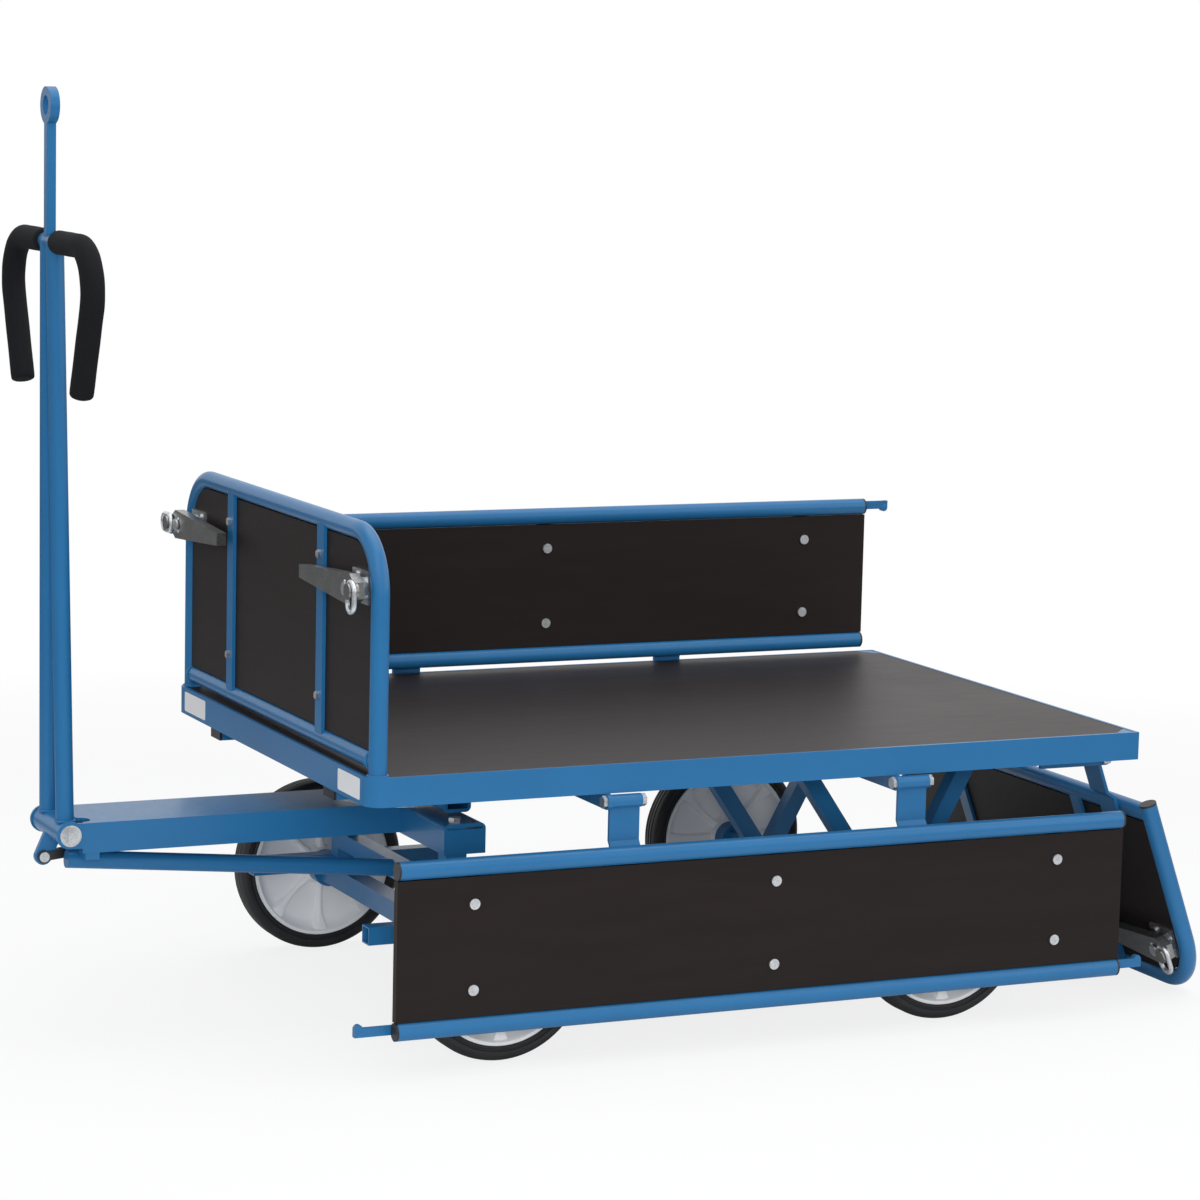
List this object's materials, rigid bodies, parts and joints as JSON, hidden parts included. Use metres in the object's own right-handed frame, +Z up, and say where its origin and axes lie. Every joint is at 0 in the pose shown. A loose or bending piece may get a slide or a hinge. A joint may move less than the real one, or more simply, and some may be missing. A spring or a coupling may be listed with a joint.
{
  "type": "folding platform cart",
  "caption": "Hand-drawn platform trailer with a turntable-steered front axle, an upright drawbar with a tow eye, a fixed headboard and folding side boards and tailgate.",
  "frame": {"origin": "on the ground under the middle of the whole object's box, in its rest pose", "axes": "+X along the platform towards the tailgate, +Y towards the raised side board, +Z up; the drawbar is at -X"},
  "size_m": [1.6718, 0.8404, 1.298],
  "materials": {
    "frame": "mid-blue gloss powder coat",
    "board": "black-brown film-faced plywood with a fine mesh",
    "zinc": "bright zinc plate",
    "cap": "black moulded plastic",
    "grip": "black closed-cell foam",
    "tyre": "black rubber",
    "wheel": "light grey moulded plastic",
    "spring": "black paint"
  },
  "bodies": {
    "platform": {"rim": "frame", "deck": "board", "long_rails": "frame", "rail_plugs": "cap", "cross_members": "frame", "bolster": "frame", "upper_race": "zinc", "hinge_brackets": "frame", "hinge_bolts": "zinc", "rear_struts": "frame", "rear_axle": "frame", "rear_axle_nuts": "zinc", "head_frame": "frame", "head_panel": "board", "head_bolts": "zinc", "head_latch_bases": "zinc"},
    "near_board": {"near_frame": "frame", "near_panel": "board", "near_bolts": "zinc", "near_caps": "cap"},
    "far_board": {"far_frame": "frame", "far_panel": "board", "far_bolts": "zinc", "far_caps": "cap"},
    "tailgate": {"tail_frame": "frame", "tail_panel": "board", "tail_bolts": "zinc", "tail_caps": "cap", "tail_latch_bases": "zinc"},
    "steering": {"crossbeam": "frame", "lower_race": "zinc", "kingpin": "zinc", "front_axle": "frame", "front_axle_nuts": "zinc", "pull_beam": "frame", "stay": "frame", "pivot_bolt": "zinc"},
    "drawbar": {"drawbar": "frame", "handle": "frame", "tow_eye": "frame", "grips": "grip"},
    "gas_cylinder": {"spring_cylinder": "spring"},
    "gas_rod": {"spring_rod": "spring", "spring_pin": "zinc"},
    "wheel_front_near": {"tyre_front_near": "tyre", "centre_front_near": "wheel"},
    "wheel_front_far": {"tyre_front_far": "tyre", "centre_front_far": "wheel"},
    "wheel_rear_near": {"tyre_rear_near": "tyre", "centre_rear_near": "wheel"},
    "wheel_rear_far": {"tyre_rear_far": "tyre", "centre_rear_far": "wheel"},
    "lever_head_near": {"lever_head_near": "zinc"},
    "link_head_near": {"link_head_near": "zinc"},
    "lever_tail_near": {"lever_tail_near": "zinc"},
    "link_tail_near": {"link_tail_near": "zinc"},
    "lever_head_far": {"lever_head_far": "zinc"},
    "link_head_far": {"link_head_far": "zinc"},
    "lever_tail_far": {"lever_tail_far": "zinc"},
    "link_tail_far": {"link_tail_far": "zinc"}
  },
  "joints": [
    {"name": "steer", "type": "hinge", "parent": "platform", "child": "steering", "pos_m": [-0.29094, 0.00825, 0.303], "axis": [0, 0, 1], "range_deg": [-50, 50]},
    {"name": "drawbar_tilt", "type": "hinge", "parent": "steering", "child": "drawbar", "pos_m": [-0.80594, 0.00825, 0.286], "axis": [0, -1, 0], "range_deg": [0, 100]},
    {"name": "gas_tilt", "type": "hinge", "parent": "steering", "child": "gas_cylinder", "pos_m": [-0.46594, 0.01425, 0.284], "axis": [0, 1, 0], "range_deg": [-1, 5]},
    {"name": "gas_stroke", "type": "slide", "parent": "gas_cylinder", "child": "gas_rod", "axis": [0.9941, 0, 0.1083], "range_m": [0, 0.065]},
    {"name": "near_board_fold", "type": "hinge", "parent": "platform", "child": "near_board", "pos_m": [0.09406, -0.39275, 0.357], "axis": [-1, 0, 0], "range_deg": [0, 180]},
    {"name": "far_board_fold", "type": "hinge", "parent": "platform", "child": "far_board", "pos_m": [0.09406, 0.40925, 0.357], "axis": [-1, 0, 0], "range_deg": [0, 180]},
    {"name": "tailgate_fold", "type": "hinge", "parent": "platform", "child": "tailgate", "pos_m": [0.68406, 0.00825, 0.357], "axis": [0, -1, 0], "range_deg": [0, 160]},
    {"name": "spin_front_near", "type": "hinge", "parent": "steering", "child": "wheel_front_near", "pos_m": [-0.29094, -0.34175, 0.13], "axis": [0, 1, 0], "continuous": true},
    {"name": "spin_front_far", "type": "hinge", "parent": "steering", "child": "wheel_front_far", "pos_m": [-0.29094, 0.35825, 0.13], "axis": [0, 1, 0], "continuous": true},
    {"name": "spin_rear_near", "type": "hinge", "parent": "platform", "child": "wheel_rear_near", "pos_m": [0.39706, -0.34175, 0.13], "axis": [0, 1, 0], "continuous": true},
    {"name": "spin_rear_far", "type": "hinge", "parent": "platform", "child": "wheel_rear_far", "pos_m": [0.39706, 0.35825, 0.13], "axis": [0, 1, 0], "continuous": true},
    {"name": "lever_head_near_swing", "type": "hinge", "parent": "platform", "child": "lever_head_near", "pos_m": [-0.51094, -0.34325, 0.655], "axis": [1, 0, 0], "range_deg": [0, 100]},
    {"name": "link_head_near_swing", "type": "hinge", "parent": "lever_head_near", "child": "link_head_near", "pos_m": [-0.52244, -0.37125, 0.655], "axis": [-1, 0, 0], "range_deg": [-10, 100]},
    {"name": "lever_tail_near_swing", "type": "hinge", "parent": "tailgate", "child": "lever_tail_near", "pos_m": [0.77095, -0.34325, 0.0715], "axis": [0.9397, 0, 0.342], "range_deg": [0, 100]},
    {"name": "link_tail_near_swing", "type": "hinge", "parent": "lever_tail_near", "child": "link_tail_near", "pos_m": [0.76108, -0.37125, 0.06791], "axis": [0.9397, 0, 0.342], "range_deg": [-90, 15]},
    {"name": "lever_head_far_swing", "type": "hinge", "parent": "platform", "child": "lever_head_far", "pos_m": [-0.51094, 0.35975, 0.655], "axis": [-1, 0, 0], "range_deg": [0, 100]},
    {"name": "link_head_far_swing", "type": "hinge", "parent": "lever_head_far", "child": "link_head_far", "pos_m": [-0.52244, 0.38775, 0.655], "axis": [1, 0, 0], "range_deg": [0, 90]},
    {"name": "lever_tail_far_swing", "type": "hinge", "parent": "tailgate", "child": "lever_tail_far", "pos_m": [0.77095, 0.35975, 0.0715], "axis": [-0.9397, 0, -0.342], "range_deg": [0, 100]},
    {"name": "link_tail_far_swing", "type": "hinge", "parent": "lever_tail_far", "child": "link_tail_far", "pos_m": [0.76108, 0.38775, 0.06791], "axis": [-0.9397, 0, -0.342], "range_deg": [-90, 15]}
  ],
  "couplings": [
    {"joint": "gas_tilt", "follows": "drawbar_tilt", "ratio": 0.04555},
    {"joint": "gas_stroke", "follows": "drawbar_tilt", "m_per_rad": 0.03638}
  ]
}
